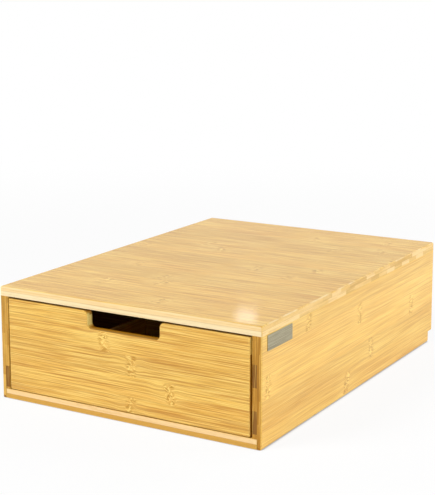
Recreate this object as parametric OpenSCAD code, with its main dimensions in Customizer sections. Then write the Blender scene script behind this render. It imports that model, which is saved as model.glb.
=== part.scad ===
// Low bamboo case with one inset drawer for coffee pods. A machine stands on its top board.
// Origin at the middle of the footprint on the floor, +Z up, drawer front towards -Y.
// All sizes are in millimetres.

/* [Case] */
// Overall width of the case, left to right
case_w = 310; // [260:1:360]
// Overall depth of the case, front to rear
case_d = 430; // [370:1:480]
// Overall height of the case
case_h = 120; // [112:1:160]
// Thickness of the two-ply boards of the case
board_t = 10; // [9:0.5:13]
// Radius of the sanded outer edges of the case
edge_r = 2; // [0.5:0.1:3]
// Depth of the rabbet along the foot of each side board, which takes the bottom board
rabbet_d = 5; // [3:0.5:6]
// Thickness of the back board
back_t = 9; // [8:0.5:12]
// Distance from the rear edges of the sides to the recessed back board
back_inset = 12; // [6:0.5:20]
// Height of the notch at the rear foot of each side board
foot_notch_h = 12.5; // [8:0.5:20]

/* [Case dowels] */
// Diameter of the dowels between the top board and the sides
top_dowel_d = 6; // [4:0.5:6]
// Length of those dowels
top_dowel_l = 24; // [18:1:30]
// Dowels along each side of the top board
top_dowel_n = 4; // [2:1:6]
// Distance from the front and rear edges to the end dowels
top_dowel_margin = 45; // [30:1:70]
// Diameter of the dowels that hold the back board
back_dowel_d = 5; // [3:0.5:5]
// Length of those dowels
back_dowel_l = 20; // [16:1:26]
// Distance from each edge of the back board to its end dowels
back_dowel_margin = 22; // [16:1:34]
// Dowels along the lower edge of the back board
back_dowel_n = 3; // [2:1:5]

/* [Drawer] */
// Gap at each end of the drawer front
front_gap_side = 1.8; // [1.4:0.1:3]
// Gap between the drawer front and the top board
front_gap_top = 2; // [1:0.1:4]
// Gap between the drawer front and the bottom board
front_gap_bottom = 0.6; // [0.4:0.1:1.5]
// How far the drawer stands off centre in its side play, to the left
side_play = 0.9; // [0:0.1:1]
// Running clearance under the drawer box
run_gap = 0.3; // [0.2:0.05:0.4]
// Clearance between the closed drawer box and the back board
stop_gap = 0.3; // [0.2:0.1:1.5]
// Thickness of the drawer front
front_t = 9; // [8:0.5:12]
// Radius of the sanded edges of the drawer front
front_edge_r = 1; // [0.4:0.1:2]
// Thickness of the sides and back of the drawer box
box_t = 8; // [8:0.5:10]
// Height of the drawer box
box_h = 85; // [75:1:88]
// Thickness of the bottom panel of the drawer
panel_t = 4; // [3:0.5:5]
// Radius of the sanded upper edges of the drawer box and the dividers
box_edge_r = 1; // [0.4:0.1:1.4]
// Height of the bottom panel above the lower edge of the box
panel_up = 6; // [4:0.5:8]
// Depth of the grooves that hold the bottom panel
groove_d = 4; // [2:0.5:5]
// Clearance around every piece that sits in a groove, a dado or a slot
fit_gap = 0.2; // [0.1:0.05:0.4]

/* [Finger notch] */
// Width of the finger notch in the drawer front
notch_w = 86; // [60:1:120]
// Depth of the finger notch below the upper edge
notch_h = 18; // [12:0.5:22]
// Radius of the lower corners of the notch
notch_r = 5; // [2:0.5:6]
// Radius where the notch runs out into the upper edge
notch_lip_r = 5; // [2:0.5:6]

/* [Dividers] */
// Thickness of the dividers
divider_t = 5; // [3:0.5:7]
// Height of the dividers
divider_h = 58; // [40:1:62]
// Depth of the dados in the box sides that take the cross dividers
dado_d = 2.5; // [1.5:0.5:3.5]

/* [Drawer dowels] */
// Diameter of the dowels in the corners of the drawer box
box_dowel_d = 5; // [3:0.5:5]
// Length of those dowels
box_dowel_l = 18; // [14:1:24]
// Dowels in each corner of the drawer box
box_dowel_n = 2; // [2:1:3]
// Distance from the upper and lower edges of the box to its end dowels
box_dowel_margin = 20; // [18:1:26]

/* [Dowel fits] */
// Depth of a dowel in the face of the board that it meets squarely
dowel_in = 6; // [4:0.5:6]
// Bevel at both ends of each dowel
dowel_bevel = 0.8; // [0.4:0.1:1.2]
// Glue gap around each dowel, on the radius
glue_gap = 0.1; // [0.05:0.05:0.2]
// Spare depth of each dowel hole beyond the end of its dowel
hole_spare = 1; // [0.5:0.1:1.5]

/* [Hidden] */
$fn = 32;

// Overshoot of a cutting solid past the face that it cuts through
cut = 1;

// Planes of the case
front_y = -case_d / 2;
rear_y = case_d / 2;
side_x = case_w / 2;
inner_x = side_x - board_t;
roof_z = case_h - board_t;
floor_z = board_t;
back_rear_y = rear_y - back_inset;
back_front_y = back_rear_y - back_t;
back_mid_y = back_rear_y - back_t / 2;

// Planes of the drawer, in the drawer's own left-right position
drawer_x = inner_x - front_gap_side;
box_in_x = drawer_x - box_t;
front_bottom_z = floor_z + front_gap_bottom;
front_top_z = roof_z - front_gap_top;
box_front_y = front_y + front_t;
box_rear_y = back_front_y - stop_gap;
box_in_rear_y = box_rear_y - box_t;
box_bottom_z = floor_z + run_gap;
box_top_z = box_bottom_z + box_h;
panel_z = box_bottom_z + panel_up;
divider_z = panel_z + panel_t + fit_gap;

// Places of the dividers: two run front to rear and three run across
long_n = 2;
cross_n = 3;
slot_w = divider_t + 2 * fit_gap;
dado_w = slot_w;
lap_z = divider_z + divider_h / 2;

function spread(first, last, n) = [for (i = [0 : n - 1]) first + i * (last - first) / (n - 1)];
function share(first, last, n) = [for (i = [1 : n]) first + i * (last - first) / (n + 1)];

long_xs = share(-box_in_x, box_in_x, long_n);
cross_ys = share(box_front_y, box_in_rear_y, cross_n);

// Places of the dowels
top_dowel_x = side_x - board_t / 2;
top_dowel_ys = spread(front_y + top_dowel_margin, rear_y - top_dowel_margin, top_dowel_n);
back_dowel_zs = spread(floor_z + back_dowel_margin, roof_z - back_dowel_margin, 2);
back_dowel_xs = spread(-inner_x + back_dowel_margin, inner_x - back_dowel_margin, back_dowel_n);
box_dowel_x = drawer_x - box_t / 2;
box_dowel_y = box_rear_y - box_t / 2;
box_dowel_zs = spread(box_bottom_z + box_dowel_margin, box_top_z - box_dowel_margin, box_dowel_n);

// ---- Shared forms ----

// A block given by its lowest and highest corner
module block(low, high) {
    translate(low)
        cube(high - low);
}

// The waste between a square corner at the origin and its rounding
module corner_waste(r) {
    difference() {
        translate([-cut, -cut])
            square(r + cut);
        translate([r, r])
            circle(r);
    }
}

// A rectangle from low to high with the named corners rounded; [0, 1] is the upper left one
module eased_rect(low, high, r, corners) {
    difference() {
        translate(low)
            square(high - low);
        for (c = corners)
            translate([c[0] == 0 ? low[0] : high[0], c[1] == 0 ? low[1] : high[1]])
                mirror([c[0], 0])
                    mirror([0, c[1]])
                        corner_waste(r);
    }
}

// Cross-section of a drawer board or a divider, with both its upper edges sanded round
module topped_rect(low, high) {
    eased_rect(low, high, box_edge_r, [[0, 1], [1, 1]]);
}

// Profiles drawn on the floor, on the front and on the side, swept along the third axis
module sweep_z(z0, z1) {
    translate([0, 0, z0])
        linear_extrude(z1 - z0)
            children();
}

module sweep_y(y0, y1) {
    translate([0, y1, 0])
        rotate([90, 0, 0])
            linear_extrude(y1 - y0)
                children();
}

module sweep_x(x0, x1) {
    translate([x0, 0, 0])
        rotate([90, 0, 90])
            linear_extrude(x1 - x0)
                children();
}

// A dowel with bevelled ends, from the origin up the Z axis
module dowel(d, l) {
    rotate_extrude()
        polygon([[0, 0], [d / 2 - dowel_bevel, 0], [d / 2, dowel_bevel],
                 [d / 2, l - dowel_bevel], [d / 2 - dowel_bevel, l], [0, l]]);
}

// The hole for such a dowel, with its glue gap and spare depth at both ends
module dowel_hole(d, l) {
    translate([0, 0, -hole_spare])
        cylinder(h = l + 2 * hole_spare, r = d / 2 + glue_gap);
}

// Dowels stand in several places: each set of places carries either the dowels or their holes
module at_top_dowels() {
    for (x = [-top_dowel_x, top_dowel_x], y = top_dowel_ys)
        translate([x, y, roof_z + dowel_in - top_dowel_l])
            children();
}

module at_back_side_dowels() {
    for (s = [0, 1], z = back_dowel_zs)
        mirror([s, 0, 0])
            translate([inner_x + dowel_in, back_mid_y, z])
                rotate([0, -90, 0])
                    children();
}

module at_back_foot_dowels() {
    for (x = back_dowel_xs)
        translate([x, back_mid_y, floor_z - dowel_in])
            children();
}

module at_drawer_front_dowels() {
    for (x = [-box_dowel_x, box_dowel_x], z = box_dowel_zs)
        translate([x, box_front_y - dowel_in, z])
            rotate([-90, 0, 0])
                children();
}

module at_drawer_back_dowels() {
    for (s = [0, 1], z = box_dowel_zs)
        mirror([s, 0, 0])
            translate([box_in_x + dowel_in, box_dowel_y, z])
                rotate([0, -90, 0])
                    children();
}

// The drawer stands a little off centre in its side play
module in_drawer() {
    translate([-side_play, 0, 0])
        children();
}

// ---- Case ----

// Wide board over both sides, eased along its upper edges and its four corners
module top_board() {
    color("burlywood")
        difference() {
            intersection() {
                sweep_x(-side_x, side_x)
                    eased_rect([front_y, roof_z], [rear_y, case_h], edge_r, [[0, 1], [1, 1]]);
                sweep_y(front_y, rear_y)
                    eased_rect([-side_x, roof_z], [side_x, case_h], edge_r, [[0, 1], [1, 1]]);
                sweep_z(roof_z, case_h)
                    eased_rect([-side_x, front_y], [side_x, rear_y], edge_r,
                               [[0, 0], [1, 0], [0, 1], [1, 1]]);
            }
            at_top_dowels()
                dowel_hole(top_dowel_d, top_dowel_l);
        }
}

// Outline of a side board seen from the side, with the notch at its rear foot
module side_outline() {
    polygon([[front_y, 0], [back_rear_y, 0], [back_rear_y, foot_notch_h],
             [rear_y, foot_notch_h], [rear_y, roof_z], [front_y, roof_z]]);
}

// Right side board: eased along its outer corners, rabbeted along its foot, drilled for dowels
module side_board() {
    difference() {
        intersection() {
            sweep_x(inner_x, side_x)
                side_outline();
            sweep_y(front_y, rear_y)
                eased_rect([inner_x, 0], [side_x, roof_z], edge_r, [[1, 0]]);
            sweep_z(0, roof_z)
                eased_rect([inner_x, front_y], [side_x, rear_y], edge_r, [[1, 0], [1, 1]]);
        }
        block([inner_x - cut, front_y - cut, -cut], [inner_x + rabbet_d, rear_y + cut, floor_z]);
        at_top_dowels()
            dowel_hole(top_dowel_d, top_dowel_l);
        at_back_side_dowels()
            dowel_hole(back_dowel_d, back_dowel_l);
    }
}

module right_side_board() {
    color("sandybrown")
        side_board();
}

module left_side_board() {
    color("sandybrown")
        mirror([1, 0, 0])
            side_board();
}

// Bottom board in the rabbets of the sides; it ends flush with the back board
module bottom_board() {
    color("tan")
        difference() {
            block([-inner_x - rabbet_d, front_y, 0], [inner_x + rabbet_d, back_rear_y, floor_z]);
            at_back_foot_dowels()
                dowel_hole(back_dowel_d, back_dowel_l);
        }
}

// Back board between the sides, standing on the bottom board; the closed drawer stops on it
module back_board() {
    color("tan")
        difference() {
            block([-inner_x, back_front_y, floor_z], [inner_x, back_rear_y, roof_z]);
            at_back_side_dowels()
                dowel_hole(back_dowel_d, back_dowel_l);
            at_back_foot_dowels()
                dowel_hole(back_dowel_d, back_dowel_l);
        }
}

module top_dowels() {
    color("wheat")
        at_top_dowels()
            dowel(top_dowel_d, top_dowel_l);
}

module back_side_dowels() {
    color("wheat")
        at_back_side_dowels()
            dowel(back_dowel_d, back_dowel_l);
}

module back_foot_dowels() {
    color("wheat")
        at_back_foot_dowels()
            dowel(back_dowel_d, back_dowel_l);
}

// ---- Drawer ----

// Finger notch seen from the front: round lower corners, and lips that run out into the upper edge
module notch_outline() {
    eased_rect([-notch_w / 2, front_top_z - notch_h], [notch_w / 2, front_top_z + cut], notch_r,
               [[0, 0], [1, 0]]);
    for (s = [0, 1])
        mirror([s, 0])
            translate([notch_w / 2, front_top_z])
                mirror([0, 1])
                    corner_waste(notch_lip_r);
}

// Front outline of the drawer front
module front_outline() {
    difference() {
        eased_rect([-drawer_x, front_bottom_z], [drawer_x, front_top_z], front_edge_r,
                   [[0, 0], [1, 0], [0, 1], [1, 1]]);
        notch_outline();
    }
}

// The panel groove, all round the inside of the box and a little way into its boards
module panel_groove() {
    block([-box_in_x - groove_d, box_front_y - groove_d, panel_z - fit_gap],
          [box_in_x + groove_d, box_in_rear_y + groove_d, panel_z + panel_t + fit_gap]);
}

module drawer_front() {
    color("goldenrod")
        in_drawer()
            difference() {
                intersection() {
                    sweep_y(front_y, box_front_y)
                        front_outline();
                    sweep_x(-drawer_x, drawer_x)
                        eased_rect([front_y, front_bottom_z], [box_front_y, front_top_z],
                                   front_edge_r, [[0, 0], [0, 1]]);
                    sweep_z(front_bottom_z, front_top_z)
                        eased_rect([-drawer_x, front_y], [drawer_x, box_front_y],
                                   front_edge_r, [[0, 0], [1, 0]]);
                }
                panel_groove();
                at_drawer_front_dowels()
                    dowel_hole(box_dowel_d, box_dowel_l);
            }
}

// Right box side: groove along its whole foot, and a dado for each cross divider, open at the top
module box_side() {
    difference() {
        sweep_y(box_front_y, box_rear_y)
            topped_rect([box_in_x, box_bottom_z], [drawer_x, box_top_z]);
        block([box_in_x - cut, box_front_y - cut, panel_z - fit_gap],
              [box_in_x + groove_d, box_rear_y + cut, panel_z + panel_t + fit_gap]);
        for (y = cross_ys)
            block([box_in_x - cut, y - dado_w / 2, panel_z],
                  [box_in_x + dado_d, y + dado_w / 2, box_top_z + cut]);
        at_drawer_front_dowels()
            dowel_hole(box_dowel_d, box_dowel_l);
        at_drawer_back_dowels()
            dowel_hole(box_dowel_d, box_dowel_l);
    }
}

module drawer_right_side() {
    color("khaki")
        in_drawer()
            box_side();
}

module drawer_left_side() {
    color("khaki")
        in_drawer()
            mirror([1, 0, 0])
                box_side();
}

module drawer_back() {
    color("khaki")
        in_drawer()
            difference() {
                sweep_x(-box_in_x, box_in_x)
                    topped_rect([box_in_rear_y, box_bottom_z], [box_rear_y, box_top_z]);
                block([-box_in_x - cut, box_in_rear_y - cut, panel_z - fit_gap],
                      [box_in_x + cut, box_in_rear_y + groove_d, panel_z + panel_t + fit_gap]);
                at_drawer_back_dowels()
                    dowel_hole(box_dowel_d, box_dowel_l);
            }
}

// Thin bottom panel, held in the grooves on all four sides
module drawer_panel() {
    reach_x = box_in_x + groove_d - fit_gap;
    color("moccasin")
        in_drawer()
            block([-reach_x, box_front_y - groove_d + fit_gap, panel_z],
                  [reach_x, box_in_rear_y + groove_d - fit_gap, panel_z + panel_t]);
}

module drawer_front_dowels() {
    color("wheat")
        in_drawer()
            at_drawer_front_dowels()
                dowel(box_dowel_d, box_dowel_l);
}

module drawer_back_dowels() {
    color("wheat")
        in_drawer()
            at_drawer_back_dowels()
                dowel(box_dowel_d, box_dowel_l);
}

// ---- Dividers ----

// Front-to-rear divider: lapped from above, so that the cross dividers drop into it
module long_divider(x) {
    color("peachpuff")
        in_drawer()
            difference() {
                sweep_y(box_front_y + fit_gap, box_in_rear_y - fit_gap)
                    topped_rect([x - divider_t / 2, divider_z],
                                [x + divider_t / 2, divider_z + divider_h]);
                for (y = cross_ys)
                    block([x - divider_t, y - slot_w / 2, lap_z - fit_gap / 2],
                          [x + divider_t, y + slot_w / 2, divider_z + divider_h + cut]);
            }
}

// Cross divider: its ends stand in the dados, and it is lapped from below over the long ones
module cross_divider(y) {
    reach_x = box_in_x + dado_d - fit_gap;
    color("peachpuff")
        in_drawer()
            difference() {
                sweep_x(-reach_x, reach_x)
                    topped_rect([y - divider_t / 2, divider_z],
                                [y + divider_t / 2, divider_z + divider_h]);
                for (x = long_xs)
                    block([x - slot_w / 2, y - divider_t, divider_z - cut],
                          [x + slot_w / 2, y + divider_t, lap_z + fit_gap / 2]);
            }
}

module long_divider_left() long_divider(long_xs[0]);
module long_divider_right() long_divider(long_xs[1]);
module cross_divider_front() cross_divider(cross_ys[0]);
module cross_divider_middle() cross_divider(cross_ys[1]);
module cross_divider_rear() cross_divider(cross_ys[2]);

// ---- Nodes ----

top_board();
left_side_board();
right_side_board();
bottom_board();
back_board();
top_dowels();
back_side_dowels();
back_foot_dowels();
drawer_front();
drawer_left_side();
drawer_right_side();
drawer_back();
drawer_panel();
drawer_front_dowels();
drawer_back_dowels();
long_divider_left();
long_divider_right();
cross_divider_front();
cross_divider_middle();
cross_divider_rear();
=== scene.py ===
# %% [markdown]
# # A bamboo drawer case
#
# The object is a low case of pressed bamboo with one inset drawer. A coffee machine stands on it,
# and the drawer holds the pods. This lesson builds its boards the way a joiner does: saw a blank,
# sand the edges that a hand meets, machine the grooves and holes, then lacquer it.
#
# The construction is already settled in the packed frame, so the lesson starts by loading it.
# Places and sizes are in metres, with the front of the drawer towards -Y and +Z up.

# %% Load the frame
import math
from types import SimpleNamespace

import bmesh
import bpy
from mathutils import Matrix, Vector


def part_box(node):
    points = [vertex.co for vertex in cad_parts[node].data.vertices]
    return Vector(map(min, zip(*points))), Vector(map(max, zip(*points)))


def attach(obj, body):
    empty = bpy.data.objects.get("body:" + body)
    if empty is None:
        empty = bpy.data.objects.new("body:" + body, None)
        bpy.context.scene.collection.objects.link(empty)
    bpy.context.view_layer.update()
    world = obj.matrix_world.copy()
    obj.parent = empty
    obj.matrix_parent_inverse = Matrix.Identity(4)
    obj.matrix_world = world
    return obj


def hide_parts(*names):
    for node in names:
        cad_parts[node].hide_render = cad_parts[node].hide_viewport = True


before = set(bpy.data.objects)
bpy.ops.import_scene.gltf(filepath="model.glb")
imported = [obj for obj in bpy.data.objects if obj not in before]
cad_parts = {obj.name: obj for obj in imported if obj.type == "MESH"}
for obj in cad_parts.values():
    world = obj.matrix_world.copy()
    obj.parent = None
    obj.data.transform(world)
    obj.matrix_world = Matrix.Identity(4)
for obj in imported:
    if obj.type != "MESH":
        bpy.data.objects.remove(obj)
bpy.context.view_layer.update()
MM = 0.001
AXES = "XYZ"
X, Y, Z = range(3)

# %% [markdown]
# ## The camera
#
# A low box looks right through a long lens from a little above. The camera could be placed with
# x, y, z and three rotations, but two angles round the object, a roll and a distance are easier
# to think about, so its three axes are worked out from them and put into one matrix. A camera
# that looks down makes uprights lean together, which a lens shift cancels. A small shift is
# enough here, and it keeps the whole object in frame when the camera is moved to other sides.

# %% Camera
AZIMUTH, ELEVATION, ROLL = (math.radians(angle) for angle in (30.54, 9.74, -0.09))
DISTANCE = 1.491
AIM = Vector((-0.0315, 0.0210, 0.1985))
FOCAL_LENGTH = 95.65
SHIFT_UP = -0.12
FARTHEST = 50


def camera_axes(azimuth, elevation, roll):
    """The camera's right, up and backward directions."""
    back = Vector((
        math.sin(azimuth) * math.cos(elevation),
        -math.cos(azimuth) * math.cos(elevation),
        math.sin(elevation),
    ))
    level = Vector((math.cos(azimuth), math.sin(azimuth), 0))
    upright = back.cross(level)
    right = math.cos(roll) * level + math.sin(roll) * upright
    up = math.cos(roll) * upright - math.sin(roll) * level
    return right, up, back


def make_camera():
    right, up, back = camera_axes(AZIMUTH, ELEVATION, ROLL)
    data = bpy.data.cameras.new("camera")
    data.lens = FOCAL_LENGTH
    data.shift_y = SHIFT_UP
    data.clip_end = FARTHEST
    camera = bpy.data.objects.new("camera", data)
    turn = Matrix((right, up, back)).transposed().to_4x4()
    camera.matrix_world = Matrix.Translation(AIM + back * DISTANCE) @ turn
    bpy.context.collection.objects.link(camera)
    bpy.context.scene.camera = camera
    return camera


camera = make_camera()
print("camera at", [round(c, 3) for c in camera.location])

# %% [markdown]
# ## Formulas that write nodes
#
# The look of bamboo is mostly arithmetic on places: which stave a point lies in, how far it is
# from a knuckle, how the fibres run. Wired by hand, that is some hundred boxes. A small class
# that wraps one socket and overloads the operators keeps the same arithmetic readable. Each
# operator has its mirrored form too, so that both mask - 1 and 1 - mask work.


# %% A wire with operators
class Wire:
    """One output socket. An operator on it adds the Math node that does the sum."""

    def __init__(self, graph, socket):
        self.graph = graph
        self.socket = socket

    def math(self, operation, *values):
        sockets = dict(enumerate(values))
        return self.graph.node("ShaderNodeMath", {"operation": operation}, sockets)

    def __add__(self, other):
        return self.math("ADD", self, other)

    def __radd__(self, other):
        return self.math("ADD", other, self)

    def __sub__(self, other):
        return self.math("SUBTRACT", self, other)

    def __rsub__(self, other):
        return self.math("SUBTRACT", other, self)

    def __mul__(self, other):
        return self.math("MULTIPLY", self, other)

    def __rmul__(self, other):
        return self.math("MULTIPLY", other, self)

    def __truediv__(self, other):
        return self.math("DIVIDE", self, other)

    def __rtruediv__(self, other):
        return self.math("DIVIDE", other, self)

    def __gt__(self, other):
        return self.math("GREATER_THAN", self, other)

    def __lt__(self, other):
        return self.math("LESS_THAN", self, other)

    def __abs__(self):
        return self.math("ABSOLUTE", self)

    def floor(self):
        return self.math("FLOOR", self)

    def root(self):
        return self.math("SQRT", self)

    def least(self, other):
        return self.math("MINIMUM", self, other)

    def most(self, other):
        return self.math("MAXIMUM", self, other)

    def wrap(self, high, low):
        """Repeats the range from low to high for ever."""
        return self.math("WRAP", self, high, low)

    def equals(self, whole):
        """1 where this rounds to a whole number, and 0 elsewhere."""
        return self.math("COMPARE", self, whole, 0.5)


print("a wire also knows:", [name for name in vars(Wire) if not name.startswith("_")])

# %% [markdown]
# ## A graph under construction
#
# Materials, the room and the machine cuts are all node trees. Each kind of node could have its
# own helper, but one method is enough for all of them: it takes the type, the settings, which
# change what sockets there are, and then the values or wires. The rest of the class are
# shorthands for what comes again and again, such as laying one colour over another.


# %% Graph
def pick(sockets, key):
    """A socket by its place, or by name among those that the node's settings leave in use."""
    if isinstance(key, int):
        return sockets[key]
    return next(s for s in sockets if s.enabled and key == s.name)


class Graph:
    """A node tree that is filled node by node."""

    def __init__(self, tree):
        self.tree = tree
        tree.nodes.clear()

    def node(self, kind, settings=None, sockets=None, out=0):
        """Adds a node: its settings first, then the values or wires of its sockets."""
        node = self.tree.nodes.new(kind)
        for key, value in (settings or {}).items():
            setattr(node, key, value)
        for key, value in (sockets or {}).items():
            socket = pick(node.inputs, key)
            if isinstance(value, Wire):
                self.tree.links.new(value.socket, socket)
            else:
                socket.default_value = value
        return Wire(self, pick(node.outputs, out)) if node.outputs else None

    def vector(self, x, y, z):
        return self.node("ShaderNodeCombineXYZ", None, {0: x, 1: y, 2: z})

    def split(self, wire):
        return [self.node("ShaderNodeSeparateXYZ", None, {0: wire}, out=i) for i in range(3)]

    def smooth(self, value, start, full):
        """0 up to start, 1 from full on, and an even curve between. start may be the larger."""
        sockets = {"Value": value, "From Min": start, "From Max": full}
        settings = {"interpolation_type": "SMOOTHSTEP", "clamp": True}
        return self.node("ShaderNodeMapRange", settings, sockets)

    def noise(self, x, y, z, detail=2.0, rough=0.5):
        sockets = {"Vector": self.vector(x, y, z), "Scale": 1.0, "Detail": detail,
                   "Roughness": rough}
        return self.node("ShaderNodeTexNoise", None, sockets)

    def mix(self, amount, low, high):
        """From one colour to another as amount goes from 0 to 1."""
        sockets = {"Factor": amount, "A": low, "B": high}
        return self.node("ShaderNodeMix", {"data_type": "RGBA"}, sockets, out="Result")

    def glaze(self, colour, coats):
        """Lays more colours over the first, each as far as its own mask says."""
        for mask, over in coats:
            colour = self.mix(mask, colour, over)
        return colour

    def scale(self, vector, factor):
        """A vector made longer or shorter, or a colour made lighter or darker."""
        sockets = {"Vector": vector, "Scale": factor}
        return self.node("ShaderNodeVectorMath", {"operation": "SCALE"}, sockets, out="Vector")


print("a graph knows:", [name for name in vars(Graph) if not name.startswith("_")])

# %% [markdown]
# ## A material under construction
#
# A finish on the bench is one tin and one cloth, and here it is one material with a graph of its
# own. A new material comes with a ready shader that could be changed, but a graph that starts
# empty shows all that goes into it. Closing the finish wires its last shader to the output.


# %% Finish
class Finish(Graph):
    """A material that is filled node by node, and closed when it is done."""

    def __init__(self, name):
        self.material = bpy.data.materials.new(name)
        self.material.use_nodes = True
        super().__init__(self.material.node_tree)

    def close(self, shader):
        self.node("ShaderNodeOutputMaterial", None, {"Surface": shader})
        print("finish:", self.material.name, "nodes:", len(self.tree.nodes))
        return self.material


print("a finish is a graph:", issubclass(Finish, Graph))

# %% [markdown]
# ## Colours as the eye reads them
#
# A paint chart gives colours as screen values from 0 to 255, but light is added up in linear
# values. Nodes in every material could do the change, but one function does it once, in plain
# numbers, before they reach any socket.


# %% Tints
def tint(red, green, blue):
    """A colour from its 0 to 255 screen values, as the linear values that nodes use."""
    screen = [value / 255 for value in (red, green, blue)]
    linear = [c / 12.92 if c <= 0.04045 else ((c + 0.055) / 1.055) ** 2.4 for c in screen]
    return (*linear, 1.0)


print("a middle grey of 128 is", round(tint(128, 128, 128)[0], 3), "in linear light")

# %% [markdown]
# ## Pressed bamboo: plies and staves
#
# Bamboo is split into strips, planed square into staves some 21 mm wide and 5 mm thick, and
# glued side by side into plies. Two plies pressed together make a 10 mm board. One stave keeps
# its tone along its whole length, over the face, round the edge and into the end grain.
#
# An image of one board could be laid on each face, but then nothing meets at the corners. Here
# the pattern is worked out from the point's own place in the wood, in millimetres, so that face,
# edge and end agree as they do in solid stuff.

# %% Plies and staves
STAVE_W = 21.3
PLY_SHIFT = 9.0


def axes_of(f, coordinate, scale=1.0):
    """The three parts of a coordinate of the piece itself, by the name of their axis."""
    place = f.node("ShaderNodeTexCoord", out=coordinate)
    return dict(zip(AXES, f.split(f.scale(place, scale))))


def layup(f, node, run, seed, outward, stave_w, stave_from, ply_shift):
    """Where a point lies in its board: along, across and into the staves, in which ply and
    stave, how far across the whole board from 0 to 1, and three dice rolls for its stave."""
    grain, across, through = run
    low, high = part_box(node)
    second, third = AXES.index(across), AXES.index(through)
    axes, facing = axes_of(f, "Object", 1 / MM), axes_of(f, "Normal")
    side, deep = axes[across], axes[through] * outward
    split = (low[third] + high[third]) / 2 / MM * outward
    ply = deep > split
    shelf = (side - stave_from + (1 - ply) * ply_shift) / stave_w
    stave = shelf.floor()
    dice = {"Vector": f.vector(stave, ply, seed)}
    return SimpleNamespace(
        low=low, high=high, axes=axes, seed=seed, along=axes[grain], side=side, deep=deep,
        ply=ply, stave=stave, within=shelf - stave - 0.5, off_glue=abs(deep - split),
        up=f.smooth(side, low[second] / MM, high[second] / MM),
        luck=f.split(f.node("ShaderNodeTexWhiteNoise", None, dice, out="Color")),
        to_grain=abs(facing[grain]), to_side=abs(facing[across]), out=facing[through] * outward)


print(f"staves {STAVE_W} mm wide, inner ply set over by {PLY_SHIFT} mm")

# %% [markdown]
# ## Knuckles
#
# A cane has a joint every 35 cm or so, and the planed stave keeps it as a knuckle: a band of
# short dark and pale ticks, a pale hair line across, and fibres that part on both sides of it.
# Each could be painted by hand in its place. A distance to the nearest knuckle, repeated along
# the stave, gives every stave its own, and a few that matter can still be told their place.

# %% Knuckles
KNUCKLE_EVERY = 350.0
KNUCKLE_LEAN = 8.0
KNUCKLE_RAGGED = 7
# How far from the knuckle each mark starts and where it is full, in millimetres
BAND = (8.0, 3.0)
HAIR = (1.2, 0.3)
FLARE = (38, 4)
HAIR_OFF = 0.5
# How much the painted sheen towards the top of the sides fades the knuckle ticks
SHEEN_FADES_TICKS = 2.4


def knuckle(f, at, places, painted_sheen):
    """Masks for the ticks, the hair line and the flare of a stave's nearest knuckle, and the
    twist of its fibres. places holds where it lies in some staves of the outer ply."""
    where = at.luck[0] * KNUCKLE_EVERY
    for stave, place in places.items():
        where = where + at.stave.equals(stave) * at.ply * (place - where)
    ragged = f.noise(at.along * 0.16, at.side * 0.45, at.stave) - 0.5
    lean = at.within * (at.luck[1] - 0.5) * 2 * KNUCKLE_LEAN
    away = at.along - where + lean + ragged * KNUCKLE_RAGGED
    away = away.wrap(KNUCKLE_EVERY / 2, -KNUCKLE_EVERY / 2)
    twist = f.noise(at.along * 0.11, at.side * 0.22, at.stave * 5 + at.seed, 1.0) - 0.5
    # The ticks fade where the sides are painted paler towards the top, a painted sheen.
    return SimpleNamespace(
        band=f.smooth(abs(away), *BAND) * (1 - painted_sheen * SHEEN_FADES_TICKS),
        hair=f.smooth(abs(away + HAIR_OFF), *HAIR) * f.smooth(twist, -0.05, 0.1),
        flare=f.smooth(abs(away), *FLARE), twist=twist)


print(f"a knuckle every {KNUCKLE_EVERY:.0f} mm, with ticks {BAND[0]:.0f} mm to both sides")

# %% [markdown]
# ## Fibres
#
# The grain is a set of long thin marks, from clouds half a board long down to single pores. They
# wander slowly, part round a knuckle, and twist in it. A wave texture would make stripes that
# are too even. Noise stretched along the grain looks like fibre, and one bent sideways place,
# read by all of them, makes them wander together.

# %% Fibres
# How far the fibres are pushed sideways, in millimetres: everywhere, round and in a knuckle
DRIFT = 1.4
PARTING = 8
TWIST = 10


def fibres(f, at, knot):
    """The patterns of the grain. Their factors are marks to the millimetre: 0.005 along the
    stave is one in 200 mm."""
    drift = f.noise(at.along * 0.006, at.side * 0.025, at.stave, 1.0) - 0.5
    parted = f.noise(at.along * 0.035, at.side * 0.09, at.stave * 3 + at.seed, 1.0) - 0.5
    bent = at.side + drift * DRIFT + knot.flare * parted * PARTING + knot.band * knot.twist * TWIST
    pores = f.noise(at.along * 0.06, bent * 3.4, at.deep * 3 + at.seed, 1.0)
    return {
        "cloud": f.noise(at.along * 0.005, at.side * 0.04, at.deep * 0.05 + at.seed),
        "streak": f.noise(at.along * 0.007, bent * 0.20, at.deep * 0.3 + at.stave),
        "line": f.noise(at.along * 0.006, bent * 0.42, at.deep * 0.5 + at.seed, rough=0.6),
        "fibre": f.noise(at.along * 0.010, bent * 0.90, at.deep, 1.0),
        "thread": f.noise(at.along * 0.024, bent * 1.90, at.deep * 1.9, 1.0),
        "dash": f.noise(at.along * 0.11, bent * 0.66, at.stave * 7 + at.seed, rough=0.6),
        "pore": f.smooth(pores, 0.60, 0.70),
    }


print(f"fibres drift by up to {DRIFT / 2} mm, and part by {PARTING / 2:.0f} mm round a knuckle")

# %% [markdown]
# ## The colours of bamboo
#
# Bamboo isn't one brown: straw and honey lie side by side in streaks about 1 mm wide, with the
# odd amber one. One colour ramp on one noise would tie light and dark together. A table of marks
# lets each pattern have a colour and a strength of its own, and keeps them all in one place.

# %% Bamboo colours
HONEY = tint(232, 178, 66)
PALE = tint(244, 198, 86)
STRAW = tint(254, 222, 122)
FIBRE = tint(192, 128, 34)
AMBER = tint(226, 158, 44)
TICK = tint(190, 134, 18)
# Painted sheen: the paler colour laid towards the top of the sides
SHEEN_PALE = tint(252, 226, 172)

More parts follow.
